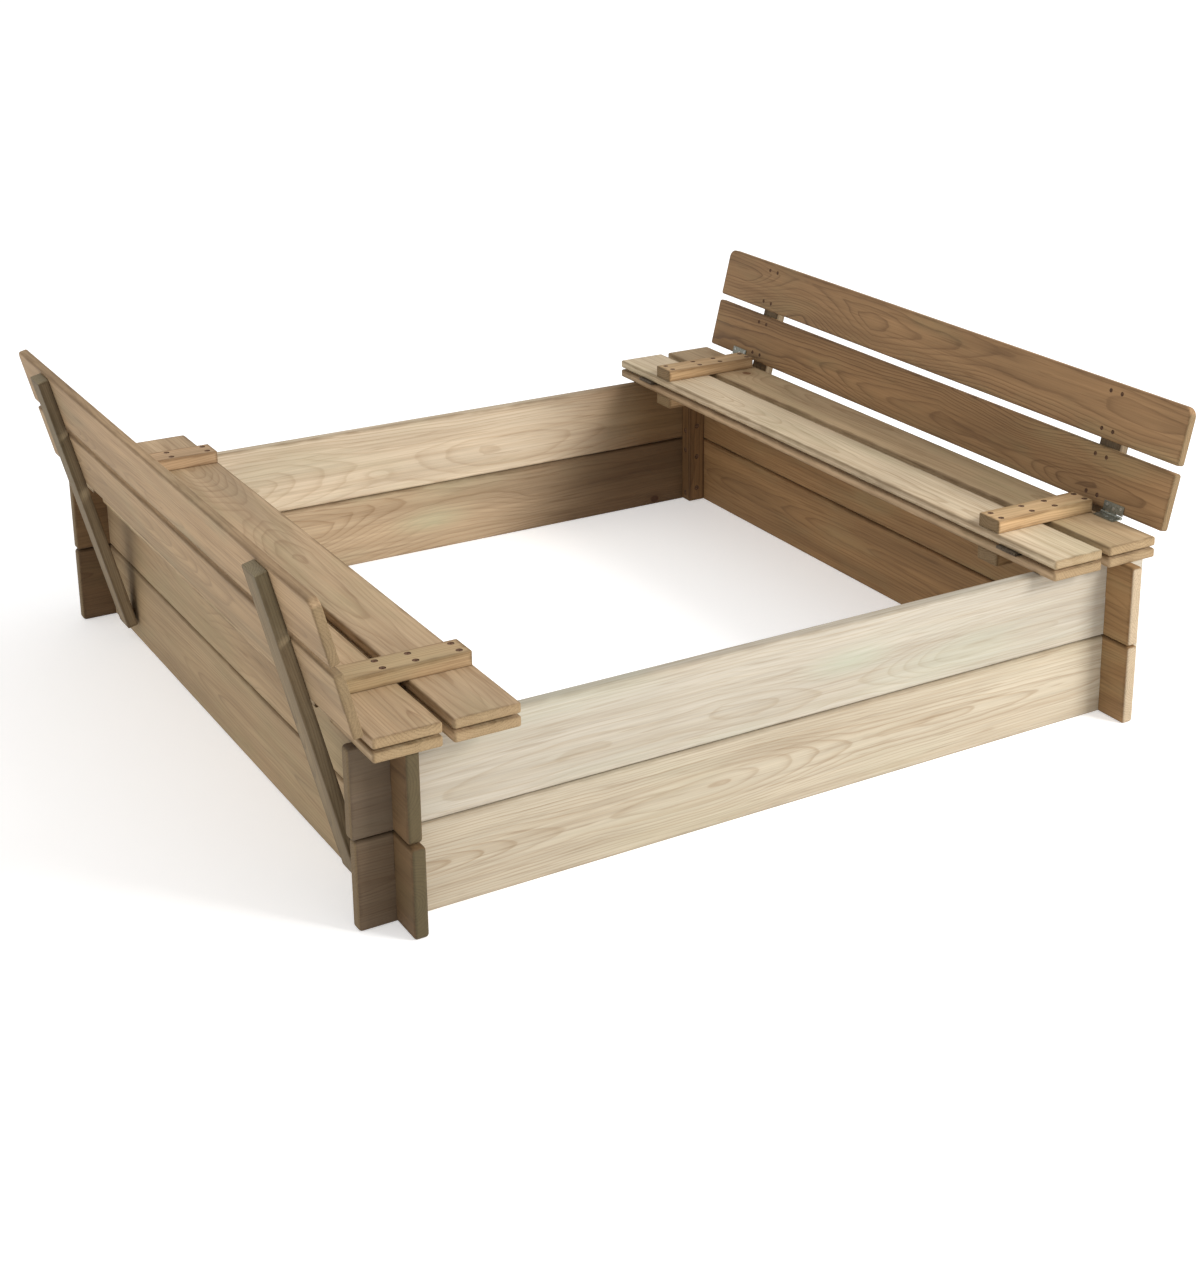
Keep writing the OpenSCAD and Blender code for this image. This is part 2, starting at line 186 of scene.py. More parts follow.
def cut(obj, bm_cutter):
    """Takes a cutter, given in the object's own frame, out of the object's mesh."""
    mesh = bpy.data.meshes.new("cutter")
    bmesh.ops.recalc_face_normals(bm_cutter, faces=bm_cutter.faces)
    bm_cutter.to_mesh(mesh)
    bm_cutter.free()
    cutter = bpy.data.objects.new("cutter", mesh)
    bpy.context.scene.collection.objects.link(cutter)
    cutter.matrix_world = obj.matrix_world
    obj.modifiers.clear()
    mod = obj.modifiers.new("cut", "BOOLEAN")
    mod.operation = "DIFFERENCE"
    mod.solver = "EXACT"
    mod.object = cutter
    bpy.context.view_layer.update()
    new = bpy.data.meshes.new_from_object(obj.evaluated_get(bpy.context.evaluated_depsgraph_get()))
    if not new.vertices:
        raise RuntimeError("the cut took all of " + obj.name)
    obj.modifiers.clear()
    old = obj.data
    obj.data = new
    new.name = old.name
    bpy.data.meshes.remove(old)
    bpy.data.objects.remove(cutter)
    bpy.data.meshes.remove(mesh)
    smooth(obj)


# ---------------------------------------------------------------- node helpers
class Tree:
    """Short-hand for building a shader tree."""

    def __init__(self, tree):
        self.tree = tree

    def node(self, kind, **values):
        n = self.tree.nodes.new(kind)
        for key, value in values.items():
            setattr(n, key, value)
        return n

    def link(self, a, b):
        self.tree.links.new(a, b)

    def put(self, socket, value):
        if isinstance(value, bpy.types.NodeSocket):
            self.link(value, socket)
        elif value is not None:
            socket.default_value = value

    def math(self, op, a, b=None, c=None, clamp=False):
        n = self.node("ShaderNodeMath", operation=op, use_clamp=clamp)
        for i, v in enumerate((a, b, c)):
            self.put(n.inputs[i], v)
        return n.outputs[0]

    def vmath(self, op, a, b=None):
        n = self.node("ShaderNodeVectorMath", operation=op)
        self.put(n.inputs[0], a)
        if b is not None:
            self.put(n.inputs[1], b)
        return n.outputs["Value"] if op == "LENGTH" else n.outputs[0]

    def split(self, vector):
        n = self.node("ShaderNodeSeparateXYZ")
        self.link(vector, n.inputs[0])
        return n.outputs[0], n.outputs[1], n.outputs[2]

    def join(self, x, y, z):
        n = self.node("ShaderNodeCombineXYZ")
        for i, v in enumerate((x, y, z)):
            self.put(n.inputs[i], v)
        return n.outputs[0]

    def noise(self, vector, scale, detail=2.0, rough=0.5):
        n = self.node("ShaderNodeTexNoise", noise_dimensions="3D")
        self.link(vector, n.inputs["Vector"])
        n.inputs["Scale"].default_value = scale
        n.inputs["Detail"].default_value = detail
        n.inputs["Roughness"].default_value = rough
        return n.outputs["Fac"]

    def ramp(self, fac, stops):
        """Grey ramp through (position, value) stops."""
        n = self.node("ShaderNodeValToRGB")
        steps = n.color_ramp.elements
        steps.remove(steps[-1])
        steps[0].position = stops[0][0]
        steps[0].color = grey(stops[0][1])
        for position, value in stops[1:]:
            steps.new(position).color = grey(value)
        self.link(fac, n.inputs[0])
        return n.outputs[0]

    def mix(self, fac, a, b, blend="MIX"):
        n = self.node("ShaderNodeMix", data_type="RGBA", blend_type=blend)
        n.clamp_factor = True
        self.put(n.inputs[0], fac)
        self.put(n.inputs[6], a)
        self.put(n.inputs[7], b)
        return n.outputs[2]

    def range(self, value, lo, hi, out_lo=0.0, out_hi=1.0, smooth=False):
        n = self.node("ShaderNodeMapRange")
        n.interpolation_type = "SMOOTHSTEP" if smooth else "LINEAR"
        n.clamp = True
        self.put(n.inputs[0], value)
        for i, v in enumerate((lo, hi, out_lo, out_hi)):
            self.put(n.inputs[1 + i], v)
        return n.outputs[0]

    def bump(self, height, shader, strength, distance):
        """Raises a shader's surface by a height pattern."""
        n = self.node("ShaderNodeBump")
        n.inputs["Strength"].default_value = strength
        n.inputs["Distance"].default_value = distance
        self.link(height, n.inputs["Height"])
        self.link(n.outputs[0], shader.inputs["Normal"])


def new_material(name):
    """(material, its tree, its surface shader)"""
    mat = bpy.data.materials.new(name)
    mat.use_nodes = True
    return mat, Tree(mat.node_tree), mat.node_tree.nodes["Principled BSDF"]


def grey(value):
    return (value, value, value, 1.0)


def srgb(r, g, b):
    """Linear colour from 0-255 display values."""
    def lin(c):
        c /= 255
        return c / 12.92 if c <= 0.04045 else ((c + 0.055) / 1.055) ** 2.4
    return (lin(r), lin(g), lin(b), 1.0)


# ---------------------------------------------------------------- timber
PINE_INPUTS = (
    ("Seed", "NodeSocketVector", (0, 0, 0)),
    ("Pith", "NodeSocketVector", (0, 0, 0.06)),
    ("Eye", "NodeSocketVector", (0, 0, 0)),
    ("Eye Lift", "NodeSocketFloat", 0.0),
    ("Eye Tint", "NodeSocketFloat", 0.0),
    ("Ring", "NodeSocketFloat", 0.004),
    ("Half Size", "NodeSocketVector", (0.6, 0.04, 0.006)),
    ("Grime", "NodeSocketFloat", 0.5),
    ("Early", "NodeSocketColor", (0.6, 0.45, 0.27, 1)),
    ("Late", "NodeSocketColor", (0.4, 0.24, 0.1, 1)),
    ("Stain", "NodeSocketColor", (0.35, 0.33, 0.18, 1)),
    ("End", "NodeSocketColor", (0.25, 0.2, 0.1, 1)),
    ("Ring Strength", "NodeSocketFloat", 0.5),
    ("Stain Amount", "NodeSocketFloat", 0.3),
    ("Blotch", "NodeSocketFloat", 0.2),
    ("Knots", "NodeSocketFloat", 0.5),
    ("End Amount", "NodeSocketFloat", 0.7),
    # the last five inputs paint shade: where a board darkens towards an end, over what length, and in what
    # tint
    ("Dark Low", "NodeSocketFloat", -9.0),
    ("Dark High", "NodeSocketFloat", 9.0),
    ("Low Blur", "NodeSocketFloat", 0.004),
    ("High Blur", "NodeSocketFloat", 0.004),
    ("Dark Tint", "NodeSocketColor", (0.36, 0.30, 0.25, 1)),
)
PINE_OUTPUTS = (("Color", "NodeSocketColor"), ("Roughness", "NodeSocketFloat"), ("Height", "NodeSocketFloat"))
LINE = (0.80, 0.76, 0.70, 1)    # shade of the dark fibres
DIRT = (0.42, 0.36, 0.28, 1)    # tone that a face takes on along its edges
EYE_WIDTH = 27 * MM         # half width of an oval figure, and its stretch along the grain
EYE_STRETCH = 3.4
# darkness across one year's ring, from the pale early wood to the thin dark late wood
RING_PROFILE = ((0.0, 0.15), (0.10, 0.0), (0.50, 0.06), (0.76, 0.42), (0.90, 1.0), (0.96, 0.9), (1.0, 0.15))


def build_pine_group():
    """Pine sawn from a log: rings round a wandering pith line, oval figures, knots, stains, end grain.

    The board's own X axis is the grain. Every board passes its own seed, pith and colours."""
    tree = bpy.data.node_groups.new("pine_timber", "ShaderNodeTree")
    for name, kind, default in PINE_INPUTS:
        tree.interface.new_socket(name=name, in_out="INPUT", socket_type=kind).default_value = default
    for name, kind in PINE_OUTPUTS:
        tree.interface.new_socket(name=name, in_out="OUTPUT", socket_type=kind)
    t = Tree(tree)
    gi = t.node("NodeGroupInput").outputs
    go = t.node("NodeGroupOutput")
    coord = t.node("ShaderNodeTexCoord").outputs["Object"]
    seeded = t.vmath("ADD", coord, gi["Seed"])
    x, y, z = t.split(coord)

    def grained(along, across):
        """Coordinates stretched along the grain, for noises finer across than along."""
        return t.vmath("MULTIPLY", seeded, (along, across, across))

    # slow wander of the pith line and small ripples of the rings
    wander = t.math("SUBTRACT", t.noise(grained(1.7, 5.0), 1.0, 1.5), 0.5)
    drift = t.math("SUBTRACT", t.noise(grained(2.6, 11.0), 1.0, 1.0), 0.5)
    ripple = t.math("SUBTRACT", t.noise(grained(11.0, 34.0), 1.0, 2.0), 0.5)

    # knots: a few sparse points seen as ovals along the board
    knot = t.node("ShaderNodeTexVoronoi", voronoi_dimensions="2D", feature="F1")
    t.link(grained(4.2, 5.6), knot.inputs["Vector"])
    knot.inputs["Scale"].default_value = 1.0
    near = knot.outputs["Distance"]
    chance, spread, _ = t.split(knot.outputs["Color"])
    present = t.math("LESS_THAN", chance, gi["Knots"])
    in_knot = t.math("DIVIDE", near, t.math("MULTIPLY_ADD", spread, 0.028, 0.020))
    core = t.math("MULTIPLY", t.range(in_knot, 0.8, 1.15, 1.0, 0.0, smooth=True), present)
    halo = t.math("MULTIPLY", t.range(in_knot, 1.0, 3.2, 1.0, 0.0, smooth=True), present)
    bulge = t.math("MULTIPLY", t.range(near, 0.0, 0.30, 1.0, 0.0, smooth=True), present)
    bulge = t.math("MULTIPLY", t.math("MULTIPLY", bulge, bulge), 0.011)

    # one oval figure where the saw has met a bulge of the rings
    ex, ey, _ = t.split(gi["Eye"])
    from_eye = t.join(t.math("DIVIDE", t.math("SUBTRACT", x, ex), EYE_STRETCH * EYE_WIDTH),
                      t.math("DIVIDE", t.math("SUBTRACT", y, ey), EYE_WIDTH),
                      t.math("MULTIPLY", ripple, 0.8))
    eye = t.range(t.vmath("LENGTH", from_eye), 0.0, 2.2, 1.0, 0.0)
    eye_core = t.range(t.vmath("LENGTH", from_eye), 0.0, 1.1, 1.0, 0.0, smooth=True)

    # rings
    px, py, pz = t.split(gi["Pith"])
    ry = t.math("MULTIPLY_ADD", wander, 0.030, t.math("ADD", y, py))
    rz = t.math("MULTIPLY_ADD", x, px, t.math("ADD", z, pz))
    rz = t.math("MULTIPLY_ADD", wander, 0.034, rz)
    radius = t.math("SQRT", t.math("ADD", t.math("MULTIPLY", ry, ry), t.math("MULTIPLY", rz, rz)))
    radius = t.math("MULTIPLY_ADD", drift, 0.016, radius)
    radius = t.math("MULTIPLY_ADD", ripple, 0.0034, radius)
    radius = t.math("MULTIPLY_ADD", eye, gi["Eye Lift"], t.math("ADD", radius, bulge))
    turns = t.math("DIVIDE", radius, gi["Ring"])
    uneven = t.math("MULTIPLY", t.noise(t.join(turns, 0.37, 0.0), 0.23, 1.0), 2.2)
    phase = t.math("FRACT", t.math("ADD", turns, uneven))
    late = t.ramp(phase, RING_PROFILE)
    vary = t.noise(t.join(t.math("MULTIPLY", turns, 0.31), 3.1, 1.7), 1.0, 1.0)
    strength = t.range(vary, 0.3, 0.7, 0.45, 1.2)
    late = t.math("MULTIPLY", t.math("MULTIPLY", late, strength), gi["Ring Strength"], clamp=True)

    # fibres, streaks and broad clouds of tone
    fibre = t.noise(grained(8.0, 460.0), 1.0, 3.0, 0.6)
    streak = t.noise(grained(2.4, 75.0), 1.0, 3.0, 0.6)
    broad = t.noise(grained(2.0, 13.0), 1.0, 2.5, 0.55)
    colour = t.mix(late, gi["Early"], gi["Late"])
    colour = t.mix(t.range(streak, 0.42, 0.72, 0.0, 0.42), colour, gi["Late"])
    dash = t.noise(grained(9.0, 210.0), 1.0, 2.0, 0.65)
    dark_line = t.mix(1.0, gi["Late"], LINE, "MULTIPLY")
    colour = t.mix(t.range(dash, 0.56, 0.72, 0.0, 0.36, smooth=True), colour, dark_line)
    low = t.math("SUBTRACT", 1.0, gi["Blotch"])
    high = t.math("MULTIPLY_ADD", gi["Blotch"], 0.5, 1.0)
    shade = t.range(broad, 0.3, 0.7, low, high)
    shade = t.math("MULTIPLY", shade, t.range(fibre, 0.25, 0.75, 0.84, 1.08))
    colour = t.mix(1.0, colour, t.join(shade, shade, shade), "MULTIPLY")

    # greenish treatment stains, also inside the oval figure
    stain = t.range(t.noise(grained(3.4, 12.0), 1.0, 3.0, 0.6), 0.46, 0.72, 0.0, 1.0, smooth=True)
    colour = t.mix(t.math("MULTIPLY", stain, gi["Stain Amount"]), colour, gi["Stain"])
    in_eye = t.math("MULTIPLY", eye_core, gi["Eye Tint"])
    colour = t.mix(t.math("MULTIPLY", in_eye, t.range(late, 0.0, 0.5, 0.55, 1.0)), colour, gi["Stain"])

    # knots
    colour = t.mix(t.math("MULTIPLY", halo, 0.35), colour, gi["Late"])
    ring_in_knot = t.math("SINE", t.math("MULTIPLY", near, 900.0))
    knot_colour = t.mix(t.range(ring_in_knot, -1.0, 1.0, 0.25, 0.75), srgb(88, 56, 32), srgb(132, 90, 55))
    colour = t.mix(t.math("MULTIPLY", core, 0.85), colour, knot_colour)

    # painted shade: boards that darken beyond a place along them, towards a shaded corner
    past_low = t.math("DIVIDE", t.math("SUBTRACT", gi["Dark Low"], x), gi["Low Blur"])
    past_high = t.math("DIVIDE", t.math("SUBTRACT", x, gi["Dark High"]), gi["High Blur"])
    low_dark = t.range(past_low, 0.0, 1.0, smooth=True)
    high_dark = t.range(past_high, 0.0, 1.0, smooth=True)
    dark = t.math("MAXIMUM", low_dark, high_dark)
    colour = t.mix(dark, colour, t.mix(1.0, colour, gi["Dark Tint"], "MULTIPLY"))

    # distance to the nearest edge of the face: the second smallest distance to the three pairs of faces
    hx, hy, hz = t.split(gi["Half Size"])
    from_end = t.math("SUBTRACT", hx, t.math("ABSOLUTE", x))
    from_side = t.math("SUBTRACT", hy, t.math("ABSOLUTE", y))
    from_face = t.math("SUBTRACT", hz, t.math("ABSOLUTE", z))
    nearest = t.math("MINIMUM", from_end, from_side)
    farther = t.math("MAXIMUM", from_end, from_side)
    edge = t.math("MAXIMUM", nearest, t.math("MINIMUM", farther, from_face))
    ragged = t.math("SUBTRACT", t.noise(grained(22.0, 60.0), 1.0, 2.0, 0.6), 0.5)
    edge = t.math("MULTIPLY_ADD", ragged, 0.009, edge)
    # every face darker along its edges, in a tint of its own
    grime = t.math("MULTIPLY", t.range(edge, 0.0005, 0.0060, 1.0, 0.0, smooth=True), gi["Grime"])
    colour = t.mix(grime, colour, t.mix(1.0, colour, DIRT, "MULTIPLY"))

    # end grain: in a colour of its own, darker in the late rings and the pores
    end = t.range(from_end, 0.0004, 0.0024, 1.0, 0.0, smooth=True)
    pore = t.noise(seeded, 700.0, 2.0, 0.6)
    end_colour = t.mix(t.math("MULTIPLY", late, 1.1, clamp=True), gi["End"],
                       t.mix(1.0, gi["End"], srgb(186, 178, 160), "MULTIPLY"))
    end_colour = t.mix(t.range(pore, 0.45, 0.7, 0.0, 0.4), end_colour, srgb(66, 54, 36))
    colour = t.mix(t.math("MULTIPLY", end, gi["End Amount"]), colour, end_colour)

    rough = t.math("MULTIPLY_ADD", fibre, 0.10, t.range(late, 0.0, 1.0, 0.70, 0.56))
    height = t.math("MULTIPLY_ADD", late, 0.5, t.math("MULTIPLY", fibre, 0.45))
    height = t.math("SUBTRACT", height, t.math("MULTIPLY", core, 0.25))
    height = t.math("ADD", height, t.math("MULTIPLY", t.math("MULTIPLY", pore, end), 0.6))
    for (name, _), value in zip(PINE_OUTPUTS, (colour, rough, height)):
        t.link(value, go.inputs[name])
    return tree


PINE = build_pine_group()
NEVER = 9.0                 # a place beyond the end of every board


def tinted(colour, tint):
    """Colour with its channels multiplied by a tint, and no channel above 1."""
    return tuple(min(1.0, c * k) for c, k in zip(colour[:3], tint)) + (1.0,)


def pine(name, half_size, early, late, stain, end, ring, grime=0.55, level=None, ring_strength=0.7,
         stain_amount=0.25, blotch=0.2, knots=0.12, eye=(0, 0), eye_lift=0.0, eye_tint=0.0,
         dark_low=(-NEVER, 1.0), dark_high=(NEVER, 1.0), dark_tint=(0.28, 0.22, 0.17)):
    """One board's own timber.

    ring and eye_lift are in millimetres, and eye is the place of an oval figure, from the board's middle.
    The last three arguments paint shade: where the board starts to darken towards either end, over what
    length, and in what tint."""
    rnd = random.Random(name)
    mat, t, shader = new_material("pine_" + name)
    g = t.node("ShaderNodeGroup", node_tree=PINE)
    level = level or rnd.uniform(0.93, 1.06)
    tint = (level * rnd.uniform(0.985, 1.015), level, level * rnd.uniform(0.95, 1.05))
    values = {
        "Seed": (rnd.uniform(-30, 30), rnd.uniform(-30, 30), rnd.uniform(-30, 30)),
        "Pith": (rnd.choice((-1, 1)) * rnd.uniform(0.010, 0.03), rnd.uniform(-0.022, 0.022),
                 -rnd.uniform(28, 60) * MM),
        "Ring": rnd.uniform(0.85, 1.2) * ring * MM,
        "Half Size": half_size, "Grime": grime,
        "Early": tinted(early, tint), "Late": tinted(late, tint), "Stain": stain, "End": end,
        "Ring Strength": ring_strength, "Stain Amount": stain_amount, "Blotch": blotch,
        "Knots": knots, "End Amount": 0.8,
        "Eye": (*eye, 0), "Eye Lift": eye_lift * MM, "Eye Tint": eye_tint,
        "Dark Low": dark_low[0], "Low Blur": dark_low[1],
        "Dark High": dark_high[0], "High Blur": dark_high[1],
        "Dark Tint": (*dark_tint, 1),
    }
    for key, value in values.items():
        g.inputs[key].default_value = value
    t.link(g.outputs["Color"], shader.inputs["Base Color"])
    t.link(g.outputs["Roughness"], shader.inputs["Roughness"])
    t.bump(g.outputs["Height"], shader, 0.4, 0.6 * MM)
    shader.inputs["Specular IOR Level"].default_value = 0.3
    return mat


def build_pit():
    """Dark wood inside a screw hole: painted shade of the recess."""
    mat, t, shader = new_material("hole_wood")
    cloud = t.noise(t.node("ShaderNodeTexCoord").outputs["Object"], 500.0, 3.0, 0.6)
    colour = t.mix(t.range(cloud, 0.35, 0.65), srgb(104, 76, 53), srgb(62, 44, 31))
    t.link(colour, shader.inputs["Base Color"])
    t.link(t.range(cloud, 0.3, 0.7, 0.75, 0.95), shader.inputs["Roughness"])
    t.bump(cloud, shader, 0.4, 0.3 * MM)
    return mat


PIT = build_pit()


# ---------------------------------------------------------------- metal
def metal(name, base, rough, streak_scale, patina, patina_amount, metallic=0.9):
    """Plated or worn steel with cloudy patches, fine scratches and uneven gloss."""
    mat, t, shader = new_material(name)
    shader.inputs["Metallic"].default_value = metallic
    at = t.node("ShaderNodeTexCoord").outputs["Object"]
    cloud = t.noise(at, 260.0, 3.0, 0.6)
    sx, sy, sz = t.split(at)
    scratch = t.noise(t.join(t.math("MULTIPLY", sx, streak_scale), t.math("MULTIPLY", sy, 90.0),
                             t.math("MULTIPLY", sz, streak_scale)), 1.0, 2.0, 0.5)
    colour = t.mix(t.range(cloud, 0.42, 0.72, 0.0, patina_amount, smooth=True), base, patina)
    cloudy = t.range(cloud, 0.3, 0.7, rough - 0.08, rough + 0.12)
    roughness = t.math("MULTIPLY_ADD", scratch, 0.06, cloudy)
    t.link(colour, shader.inputs["Base Color"])
    t.link(roughness, shader.inputs["Roughness"])
    t.bump(t.math("ADD", t.math("MULTIPLY", scratch, 0.6), cloud), shader, 0.25, 0.2 * MM)
    return mat


ZINC = metal("zinc_plate", srgb(150, 152, 142), 0.42, 700.0, srgb(104, 104, 92), 0.7)
BRIGHT = metal("zinc_screw", srgb(206, 206, 200), 0.34, 700.0, srgb(160, 160, 150), 0.5)
DULL = metal("dull_plate", srgb(104, 92, 76), 0.6, 600.0, srgb(62, 48, 36), 0.9, metallic=0.6)
STEEL = metal("screw_steel", srgb(116, 84, 60), 0.7, 500.0, srgb(70, 49, 34), 0.9, metallic=0.2)


# ---------------------------------------------------------------- screws
def islands(node):
    """The separate solids of a CAD node, each as an array of points."""
    mesh = frame["nodes"][node].data
    parent = list(range(len(mesh.vertices)))

    def root(i):
        while parent[i] != i:
            parent[i] = parent[parent[i]]
            i = parent[i]
        return i

    welded = {}
    for v in mesh.vertices:
        key = tuple(round(c, 6) for c in v.co)
        first = welded.setdefault(key, v.index)
        parent[root(v.index)] = root(first)
    for e in mesh.edges:
        a, b = (root(i) for i in e.vertices)
        parent[a] = b
    groups = {}
    for v in mesh.vertices:
        groups.setdefault(root(v.index), []).append(v.co[:])
    return [np.array(g) for _, g in sorted(groups.items())]


def screw_place(points):
    """(head centre, outward axis, length) of one countersunk screw."""
    points = np.unique(np.round(points, 6), axis=0)
    centre = points.mean(axis=0)
    _, _, basis = np.linalg.svd(points - centre, full_matrices=False)
    axis = basis[0]
    along = (points - centre) @ axis
    radial = np.linalg.norm((points - centre) - np.outer(along, axis), axis=1)
    if along[np.argmax(radial)] < 0:
        axis, along = -axis, -along
    head = points[along > along.max() - 0.2 * MM].mean(axis=0)
    return Vector(head), Vector(axis).normalized(), float(along.max() - along.min())


SCREW_NODES = [n for n in sorted(frame["nodes"]) if n.endswith("screws")]
SCREWS = {n: [screw_place(p) for p in islands(n)] for n in SCREW_NODES}


def turned(profile, facets):
    """Solid of revolution about Z from (radius, z) pairs, top first."""
    bm = bmesh.new()
    rings = []
    for r, z in profile:
        if r == 0:
            rings.append([bm.verts.new((0, 0, z))])
        else:
            turns = [2 * math.pi * k / facets for k in range(facets)]
            rings.append([bm.verts.new((r * math.cos(a), r * math.sin(a), z)) for a in turns])
    for upper, lower in zip(rings, rings[1:]):
        for k in range(facets):
            j = (k + 1) % facets
            if len(upper) == 1:
                bm.faces.new((upper[0], lower[k], lower[j]))
            elif len(lower) == 1:
                bm.faces.new((upper[k], lower[0], upper[j]))
            else:
                bm.faces.new((upper[k], lower[k], lower[j], upper[j]))
    bmesh.ops.recalc_face_normals(bm, faces=bm.faces)
    return bm


def box_bm(size, centre, taper=1.0):
    """Box whose lower end is taper times as wide as its upper end."""
    bm = bmesh.new()
    bmesh.ops.create_cube(bm, size=1)
    for v in bm.verts:
        k = taper if v.co.z < 0 else 1.0
        v.co = Vector((v.co.x * size[0] * k, v.co.y * size[1] * k, v.co.z * size[2])) + Vector(centre)
    return bm


def join_bm(target, source):
    """Moves everything in the source into the target."""
    mesh = bpy.data.meshes.new("part")
    source.to_mesh(mesh)
    source.free()
    target.from_mesh(mesh)
    bpy.data.meshes.remove(mesh)


def screw_mesh(name, head, shank, length, slot_length, slot_width):
    """Countersunk screw with a cross recess and a threaded shank, head face at the origin, axis -Z."""
    cone = head - shank
    profile = [(0, 0), (head * 0.93, 0), (head, -0.15 * MM), (head, -0.35 * MM), (shank, -cone * 0.95)]
    z = -cone * 0.95 - 1.0 * MM
    root = shank * 0.78
    while z > -(length - 3.0 * MM):
        profile += [(root, z), (shank, z - THREAD_WIDTH / 2), (root, z - THREAD_WIDTH)]
        z -= THREAD_PITCH
    profile += [(shank * 0.7, -(length - 2.2 * MM)), (0, -length)]
    obj = finish_mesh(turned(profile, FACETS), name, Matrix())
    for turn in (0, 90):
        bar = box_bm((slot_length, slot_width, 2.6 * MM), (0, 0, -0.3 * MM), 0.55)
        quarter = Matrix.Rotation(math.radians(turn), 3, "Z")
        bmesh.ops.rotate(bar, verts=bar.verts, cent=(0, 0, 0), matrix=quarter)
        cut(obj, bar)
    mesh = obj.data
    bpy.data.objects.remove(obj)
    return mesh


def screw_set(node, master_length, master):
    """All screws of a CAD node as one piece, each turned its own way and stretched to its own length."""
    rnd = random.Random(node)
    bm = bmesh.new()
    for head, axis, length in SCREWS[node]:
        piece = bmesh.new()
        piece.from_mesh(master)
        turn = Matrix.Rotation(rnd.uniform(0, math.pi), 4, "Z")
        for v in piece.verts:
            if v.co.z < -SCREW_HEAD_HEIGHT or length < SHORT_SCREW:
                v.co.z *= length / master_length
        bmesh.ops.transform(piece, matrix=aimed(head, axis) @ turn, verts=piece.verts)
        join_bm(bm, piece)
    return finish_mesh(bm, node + ".set", Matrix(), math.radians(40))


# ---------------------------------------------------------------- boards
def place_of(node, x_axis, y_axis, base=Matrix()):
    """Piece frame in the middle of a CAD node, and its size along x, y, z."""
    lo, hi = box_in(node, base)
    local = axes_matrix((0, 0, 0), x_axis, y_axis, Vector(x_axis).cross(Vector(y_axis))).to_3x3()
    span = local.transposed() @ (hi - lo)
    m = base.to_3x3().to_4x4() @ local.to_4x4()
    m.translation = base @ ((lo + hi) / 2)
    return m, Vector([abs(c) for c in span])


def heads_near(matrix, size):
    """Wood-screw heads on a piece's surface, in its own frame: (place, axis, hole radius)."""
    inv = matrix.inverted()
    found = []
    for node in SCREW_NODES:
        if "hinge" in node:
            continue
        radius = REST_HOLE_RADIUS if "backrest" in node else HOLE_RADIUS
        for head, axis, _ in SCREWS[node]:
            p = inv @ head
            a = inv.to_3x3() @ axis
            inside = all(abs(p[i]) < size[i] / 2 + 1.0 * MM for i in range(3))
            k = max(range(3), key=lambda i: abs(a[i]))
            near_face = abs(abs(p[k]) - size[k] / 2) < FACE_REACH and p[k] * a[k] > 0
            if inside and near_face:
                found.append((p, a, radius))
    return found


def drill(obj, places):
    """Shallow countersunk holes over the screw heads, dark inside with painted shade."""
    if not places:
        return
    bm = bmesh.new()
    for p, a, r in places:
        hole = turned([(0, 3 * MM), (r * 1.5, 3 * MM), (r * 1.28, 0.6 * MM), (r * 1.04, -0.3 * MM),
                       (r * 0.96, -HOLE_DEPTH), (0, -HOLE_DEPTH)], FACETS)
        bmesh.ops.transform(hole, matrix=aimed(p, a), verts=hole.verts)
        join_bm(bm, hole)
    cut(obj, bm)
    obj.data.materials.append(PIT)
    for face in obj.data.polygons:
        for p, a, r in places:
            off = face.center - p
            along = off.dot(a)
            near = (off - along * a).length < 1.2 * r and abs(along) < 2 * MM
            if near and face.area < LARGEST_HOLE_FACE:
                face.material_index = 1


def board_shape(node, matrix, size, material, radii=(BOARD_CORNER,) * 4, edge=BOARD_EDGE, notches=()):
    """Wooden piece that stands for a CAD node: rounded corners, eased edges, notches and screw holes."""
    outline = rounded_outline(size.x, size.y, radii)
    obj = finish_mesh(extrude_outline(outline, size.z, edge), node + ".wood", matrix)
    if notches:
        bm = bmesh.new()
        for lo, hi in notches:
            lo, hi = Vector(lo), Vector(hi)
            join_bm(bm, box_bm(hi - lo, (lo + hi) / 2))
        cut(obj, bm)
    obj.data.materials.append(material)
    drill(obj, heads_near(matrix, size))
    return obj


def body_of_node(node):
    """Name of the body that a CAD node rides on."""
    parent = frame["nodes"][node].parent
    return next(name for name, empty in frame["bodies"].items() if empty == parent)


def wood(node, timber, x_axis, y_axis, base=Matrix(), **shape):
    """One board in its own timber, with its grain along x_axis and its width along y_axis."""
    matrix, size = place_of(node, x_axis, y_axis, base)
    material = pine(node, size / 2, **{**TONES[timber], **PIECES.get(node, {})})
    obj = board_shape(node, matrix, size, material, **shape)
    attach(obj, body_of_node(node))
    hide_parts(node)


def tone(early, late, stain=(150, 146, 108), end=(124, 104, 74), **more):
    """Settings of pine(), its colours given as display values."""
    return dict(early=srgb(*early), late=srgb(*late), stain=srgb(*stain), end=srgb(*end), **more)


